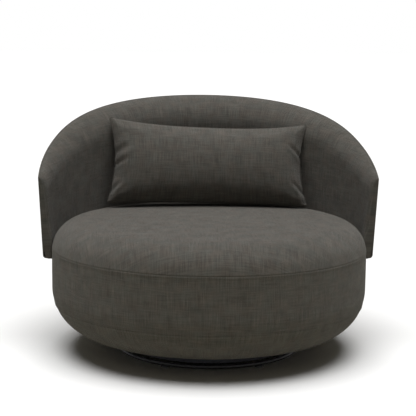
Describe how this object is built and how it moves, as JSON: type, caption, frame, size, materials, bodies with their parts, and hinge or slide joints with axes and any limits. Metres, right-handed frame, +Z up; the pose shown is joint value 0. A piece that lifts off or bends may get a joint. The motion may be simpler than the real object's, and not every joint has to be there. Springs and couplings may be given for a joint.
{
  "type": "swivel cuddle chair",
  "caption": "Wide round upholstered swivel chair: drum seat on a low ring base, padded barrel back with sloping arms, and a loose lumbar pillow.",
  "frame": {"origin": "centre of the chair's footprint box on the floor; the swivel axis stands 28 mm in front of it", "axes": "+Z up, the front of the chair faces -Y, +X is to the right seen from the front"},
  "size_m": [1.11, 1.0773, 0.8],
  "materials": {
    "black_steel": "satin black powder coat",
    "plated_steel": "zinc plated",
    "glide_plastic": "matt black",
    "black_board": "black painted board edge",
    "plywood": "unfinished plywood",
    "lining": "black non-woven lining",
    "webbing": "elastic webbing",
    "foam": "open-cell upholstery foam",
    "charcoal_weave": "slubby charcoal plain weave"
  },
  "bodies": {
    "base": {"base_ring": "black_steel", "base_cross": "black_steel", "glides": "glide_plastic", "hub_plate": "plated_steel", "lower_race": "plated_steel", "lower_rivets": "plated_steel"},
    "cage": {"bearing_cage": "plated_steel", "bearing_balls": "plated_steel"},
    "seat": {"arm_facing_left": "charcoal_weave", "arm_facing_right": "charcoal_weave", "arm_foam_left": "foam", "arm_foam_right": "foam", "back_foam": "foam", "base_panel": "plywood", "bottom_strip": "lining", "drum_hoop": "plywood", "dust_cover": "lining", "edge_welt": "charcoal_weave", "frame_ribs": "plywood", "inner_cover": "charcoal_weave", "lower_liner": "plywood", "outer_cover": "charcoal_weave", "plate_bolts": "plated_steel", "plinth_disc": "plywood", "plinth_ring": "black_board", "seat_band_cover": "charcoal_weave", "seat_foam": "foam", "seat_lower_cover": "charcoal_weave", "seat_top_cover": "charcoal_weave", "shell_board": "plywood", "shell_bolts": "plated_steel", "shell_rail": "plywood", "shell_spacers": "glide_plastic", "shell_washers": "plated_steel", "side_foam_back": "foam", "side_foam_front": "foam", "side_foam_left": "foam", "side_foam_right": "foam", "swivel_plate": "plated_steel", "tee_nuts": "plated_steel", "top_ring": "plywood", "upper_race": "plated_steel", "upper_rivets": "plated_steel", "webbing_crosswise": "webbing", "webbing_lengthwise": "webbing"},
    "pillow": {"pillow_cover": "charcoal_weave", "pillow_fill": "foam"}
  },
  "joints": [
    {"name": "seat_swivel", "type": "hinge", "parent": "base", "child": "seat", "pos_m": [0, -0.028, 0], "axis": [0, 0, 1], "continuous": true},
    {"name": "cage_spin", "type": "hinge", "parent": "base", "child": "cage", "pos_m": [0, -0.028, 0], "axis": [0, 0, 1], "continuous": true},
    {"name": "pillow_lift", "type": "slide", "parent": "seat", "child": "pillow", "axis": [0, 0, 1], "range_m": [0, 0.4]}
  ],
  "couplings": [
    {"joint": "cage_spin", "follows": "seat_swivel", "ratio": 0.5}
  ]
}
